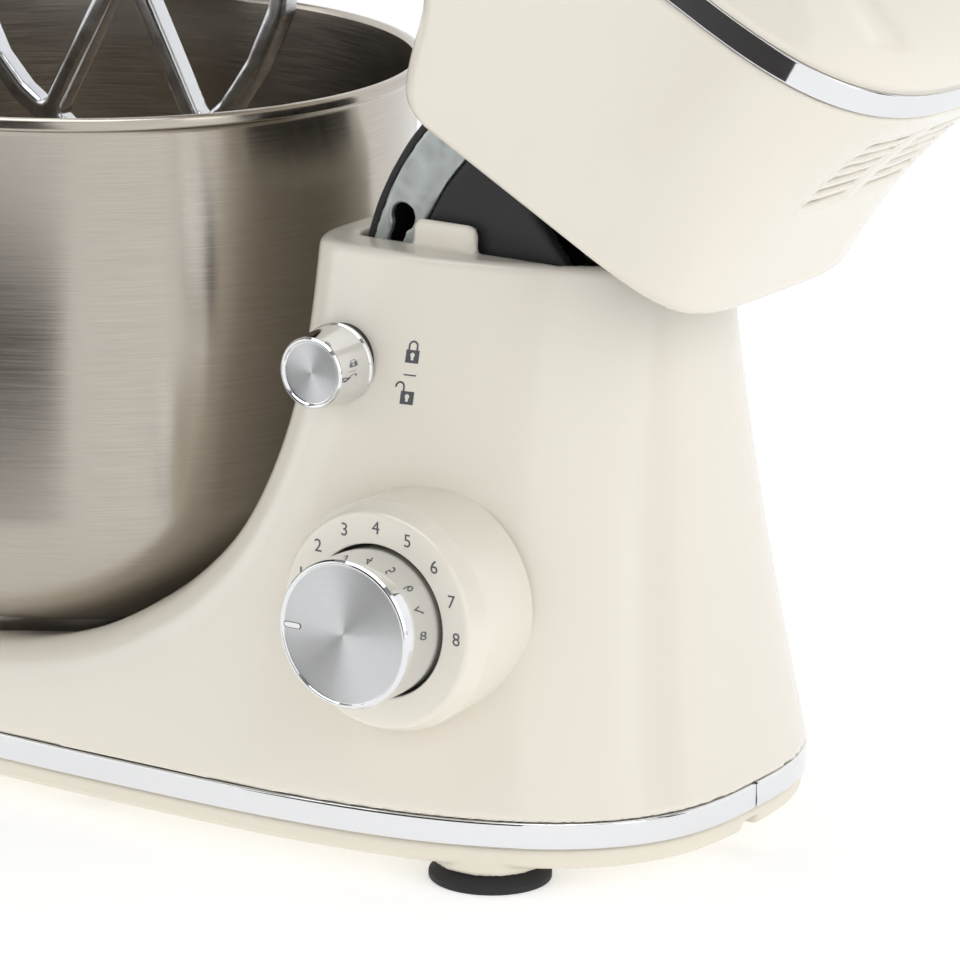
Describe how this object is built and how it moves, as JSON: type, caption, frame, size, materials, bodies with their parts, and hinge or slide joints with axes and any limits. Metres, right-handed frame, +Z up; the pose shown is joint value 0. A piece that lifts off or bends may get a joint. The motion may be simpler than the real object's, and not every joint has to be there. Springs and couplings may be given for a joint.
{
  "type": "tilt-head stand mixer",
  "caption": "Cream stand mixer with its head tilted up: flat beater on a planetary hub, steel bowl turned into its base, speed dial and lock knob on the side.",
  "frame": {"origin": "middle of the bounding box at the level of the feet, on the table", "axes": "+X from the nose to the back, -Y towards the side with the controls, +Z up; the head is raised"},
  "size_m": [0.4356, 0.221, 0.429],
  "materials": {
    "cream_shell": "glossy moulded shell",
    "cream_cover": "satin moulded cover",
    "black_skirt": "matt black moulding",
    "chrome_trim": "polished plated band",
    "chrome_knob": "polished plated knob",
    "bowl_steel": "steel brushed around the bowl",
    "zinc_steel": "zinc plated sheet",
    "machined_steel": "machined bare steel",
    "cast_aluminium": "satin cast alloy",
    "laminations": "stacked laminations",
    "foot_rubber": "matt rubber",
    "copper": "enamelled copper",
    "circuit_board": "coated board",
    "nylon": "moulded nylon"
  },
  "bodies": {
    "root": {"stand_housing": "cream_shell", "bottom_cover": "cream_cover", "base_trim_near": "chrome_trim", "base_trim_far": "chrome_trim", "suction_foot_1": "foot_rubber", "suction_foot_2": "foot_rubber", "suction_foot_3": "foot_rubber", "suction_foot_4": "foot_rubber", "cover_screw_1": "machined_steel", "cover_screw_2": "machined_steel", "cover_screw_3": "machined_steel", "cover_screw_4": "machined_steel", "bowl_plate": "zinc_steel", "dial_collar": "cream_shell", "speed_switch": "black_skirt", "speed_board": "circuit_board", "hinge_bracket": "zinc_steel", "hinge_pin": "machined_steel", "cord_gland": "foot_rubber"},
    "dial": {"speed_dial": "chrome_knob", "dial_spindle": "nylon"},
    "lock": {"lock_knob": "chrome_knob", "lock_shaft": "machined_steel"},
    "bowl": {"bowl": "bowl_steel", "bowl_foot": "bowl_steel"},
    "head": {"head_lower_shell": "cream_shell", "head_trim": "chrome_trim", "head_upper_shell": "cream_shell", "hinge_skirt": "black_skirt", "lock_sector_near": "zinc_steel", "lock_sector_far": "zinc_steel", "tilt_arm_near": "zinc_steel", "tilt_arm_far": "zinc_steel", "head_chassis": "cast_aluminium", "ring_gear": "machined_steel", "gearbox_cover": "cast_aluminium", "carrier_bearing": "machined_steel", "layshaft_bearing": "machined_steel", "drive_belt": "foot_rubber", "motor_field": "laminations", "field_coil_near": "copper", "field_coil_far": "copper", "motor_bracket_low": "cast_aluminium", "motor_bracket_top": "cast_aluminium", "motor_brush_near": "black_skirt", "motor_brush_far": "black_skirt"},
    "rotor": {"rotor_shaft": "machined_steel", "rotor_core": "laminations", "commutator": "copper", "cooling_fan": "black_skirt", "motor_pulley": "machined_steel"},
    "layshaft": {"layshaft": "machined_steel", "belt_pulley": "nylon"},
    "carrier": {"carrier_hub": "chrome_knob", "carrier_shaft": "machined_steel", "main_gear": "nylon"},
    "planet": {"planet_gear": "machined_steel", "beater_spindle": "machined_steel", "drive_pin": "machined_steel"},
    "beater": {"flat_beater": "cast_aluminium"}
  },
  "joints": [
    {"name": "head_tilt", "type": "hinge", "parent": "root", "child": "head", "pos_m": [0.11922, 0.0005, 0.16], "axis": [0, 1, 0], "range_deg": [-28.8, 0]},
    {"name": "dial_turn", "type": "hinge", "parent": "root", "child": "dial", "pos_m": [0.07112, -0.0995, 0.0839], "axis": [0, 1, 0], "range_deg": [-23, 182]},
    {"name": "lock_turn", "type": "hinge", "parent": "root", "child": "lock", "pos_m": [0.03747, -0.0595, 0.15054], "axis": [0, 1, 0], "range_deg": [0, 90]},
    {"name": "bowl_turn", "type": "hinge", "parent": "root", "child": "bowl", "pos_m": [-0.10577, 0.0005, 0.06], "axis": [0, 0, 1], "range_deg": [0, 22]},
    {"name": "carrier_spin", "type": "hinge", "parent": "head", "child": "carrier", "pos_m": [-0.04904, 0.0005, 0.32097], "axis": [0.4818, 0, 0.8763], "continuous": true},
    {"name": "planet_spin", "type": "hinge", "parent": "carrier", "child": "planet", "pos_m": [-0.06113, 0.0294, 0.32762], "axis": [0.4818, 0, 0.8763], "continuous": true},
    {"name": "layshaft_spin", "type": "hinge", "parent": "head", "child": "layshaft", "pos_m": [0.02522, 0.0005, 0.3315], "axis": [0.4818, 0, 0.8763], "continuous": true},
    {"name": "rotor_spin", "type": "hinge", "parent": "head", "child": "rotor", "pos_m": [0.1433, 0.0005, 0.24947], "axis": [0.4818, 0, 0.8763], "continuous": true},
    {"name": "beater_slide", "type": "slide", "parent": "planet", "child": "beater", "axis": [-0.4818, 0, -0.8763], "range_m": [0, 0.03]}
  ],
  "couplings": [
    {"joint": "planet_spin", "follows": "carrier_spin", "ratio": -3},
    {"joint": "layshaft_spin", "follows": "carrier_spin", "ratio": -4},
    {"joint": "rotor_spin", "follows": "carrier_spin", "ratio": -21}
  ]
}
